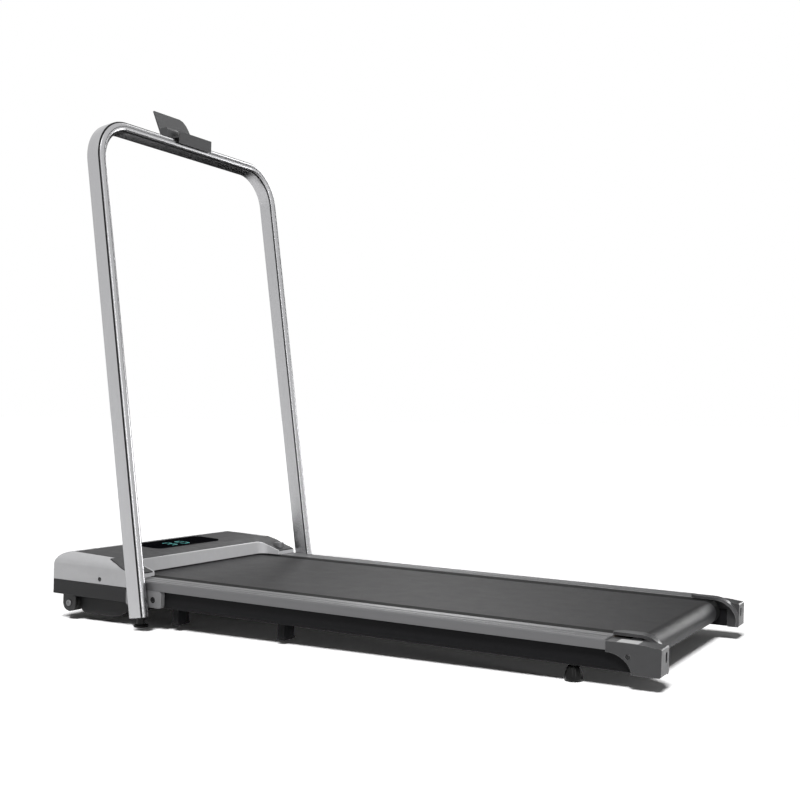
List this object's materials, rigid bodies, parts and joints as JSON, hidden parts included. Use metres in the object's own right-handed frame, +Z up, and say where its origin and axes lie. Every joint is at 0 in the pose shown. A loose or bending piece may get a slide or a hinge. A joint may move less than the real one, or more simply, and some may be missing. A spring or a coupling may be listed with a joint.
{
  "type": "folding walking treadmill",
  "caption": "Flat walking treadmill with a folding inverted-U handrail, a phone cradle on the bar, a motor hood at the front and tail caps round the rear roller.",
  "frame": {"origin": "centre of the footprint on the floor, midway along the length and the width", "axes": "+X towards the tail, -X the walking direction, +Y the walker's right, +Z up; the deck stands nose-up by 1.1 degrees"},
  "size_m": [1.2286, 0.5908, 1.0524],
  "materials": {
    "belt_black": "fine matt weave",
    "board": "waxed fibreboard",
    "bracket_grey": "grey",
    "button_grey": "satin grey",
    "cap_silver": "satin dark silver",
    "circuit_green": "solder mask green",
    "cradle_grey": "dark grey",
    "display_black": "gloss black",
    "frame_black": "black powder coat",
    "handrail_silver": "satin silver",
    "hood_dark": "fine texture, dark grey",
    "hood_silver": "satin silver",
    "motor_dark": "dark grey",
    "rail_silver": "satin extruded",
    "roller_steel": "turned",
    "rubber_black": "matt",
    "wheel_black": "black",
    "zinc_steel": "zinc plated"
  },
  "bodies": {
    "chassis": {"side_beam_left": "frame_black", "side_beam_right": "frame_black", "motor_plate": "frame_black", "cross_tube_front": "frame_black", "cross_tube_middle": "frame_black", "support_leg_front_left": "frame_black", "support_leg_front_right": "frame_black", "support_leg_middle_left": "frame_black", "support_leg_middle_right": "frame_black", "running_board": "board", "deck_cushion_left": "rubber_black", "deck_cushion_right": "rubber_black", "walking_belt": "belt_black", "front_axle": "zinc_steel", "rear_axle": "zinc_steel", "side_rail_left": "rail_silver", "side_rail_right": "rail_silver", "motor_body": "motor_dark", "drive_belt": "rubber_black", "control_board": "circuit_green", "hood_top": "hood_dark", "hood_shell": "hood_silver", "hood_screw_left": "zinc_steel", "hood_screw_right": "zinc_steel", "display_panel": "display_black", "hood_base": "hood_dark", "power_inlet": "wheel_black", "belly_pan": "hood_dark", "end_cap_left": "cap_silver", "end_cap_right": "cap_silver", "cap_screw_left": "zinc_steel", "cap_screw_right": "zinc_steel", "tension_bolt_left": "zinc_steel", "tension_bolt_right": "zinc_steel", "hinge_plate_left": "bracket_grey", "hinge_plate_right": "bracket_grey", "hinge_bolt_left": "zinc_steel", "hinge_bolt_right": "zinc_steel", "pivot_pin_left": "zinc_steel", "pivot_pin_right": "zinc_steel", "front_foot_left": "rubber_black", "front_foot_right": "rubber_black", "wheel_fork_left": "bracket_grey", "wheel_fork_right": "bracket_grey", "wheel_bolt_left": "zinc_steel", "wheel_bolt_right": "zinc_steel"},
    "handrail": {"handrail": "handrail_silver", "cradle_clamp": "cradle_grey"},
    "cradle": {"cradle_tray": "cradle_grey"},
    "front_roller_body": {"front_roller": "roller_steel"},
    "rear_roller_body": {"rear_roller": "roller_steel"},
    "motor_shaft_body": {"motor_shaft": "zinc_steel"},
    "wheel_left": {"transport_wheel_left": "wheel_black"},
    "wheel_right": {"transport_wheel_right": "wheel_black"},
    "foot_screw_left": {"rear_foot_left": "rubber_black"},
    "foot_screw_right": {"rear_foot_right": "rubber_black"},
    "button_left": {"release_button_left": "button_grey"},
    "button_right": {"release_button_right": "button_grey"},
    "rocker": {"power_switch": "button_grey"}
  },
  "joints": [
    {"name": "handrail_fold", "type": "hinge", "parent": "chassis", "child": "handrail", "pos_m": [-0.37803, 0, 0.06018], "axis": [0, 1, 0], "range_deg": [0, 95]},
    {"name": "cradle_tilt", "type": "hinge", "parent": "handrail", "child": "cradle", "pos_m": [-0.51804, 0, 0.99854], "axis": [0, 1, 0], "range_deg": [-12, 3]},
    {"name": "front_roller_spin", "type": "hinge", "parent": "chassis", "child": "front_roller_body", "pos_m": [-0.47983, 0, 0.07173], "axis": [0, 1, 0], "continuous": true},
    {"name": "rear_roller_spin", "type": "hinge", "parent": "chassis", "child": "rear_roller_body", "pos_m": [0.55998, 0, 0.05177], "axis": [0, 1, 0], "continuous": true},
    {"name": "motor_shaft_spin", "type": "hinge", "parent": "chassis", "child": "motor_shaft_body", "pos_m": [-0.54317, 0, 0.08065], "axis": [0, 1, 0], "continuous": true},
    {"name": "wheel_left_spin", "type": "hinge", "parent": "chassis", "child": "wheel_left", "pos_m": [-0.57759, -0.245, 0.033], "axis": [0, 1, 0], "continuous": true},
    {"name": "rear_foot_left_height", "type": "slide", "parent": "chassis", "child": "foot_screw_left", "axis": [0, 0, 1], "range_m": [-0.008, 0.004]},
    {"name": "button_left_press", "type": "slide", "parent": "chassis", "child": "button_left", "axis": [0.0192, 0, 0.9998], "range_m": [-0.004, 0], "stiffness_N_per_m": 300, "springref_m": 0.002},
    {"name": "wheel_right_spin", "type": "hinge", "parent": "chassis", "child": "wheel_right", "pos_m": [-0.57759, 0.245, 0.033], "axis": [0, 1, 0], "continuous": true},
    {"name": "rear_foot_right_height", "type": "slide", "parent": "chassis", "child": "foot_screw_right", "axis": [0, 0, 1], "range_m": [-0.008, 0.004]},
    {"name": "button_right_press", "type": "slide", "parent": "chassis", "child": "button_right", "axis": [0.0192, 0, 0.9998], "range_m": [-0.004, 0], "stiffness_N_per_m": 300, "springref_m": 0.002},
    {"name": "switch_rock", "type": "hinge", "parent": "chassis", "child": "rocker", "pos_m": [-0.61047, 0.139, 0.06564], "axis": [0.0192, 0, 0.9998], "range_deg": [-8, 8]}
  ],
  "couplings": [
    {"joint": "rear_roller_spin", "follows": "front_roller_spin", "ratio": 1},
    {"joint": "motor_shaft_spin", "follows": "front_roller_spin", "ratio": 1.752}
  ]
}
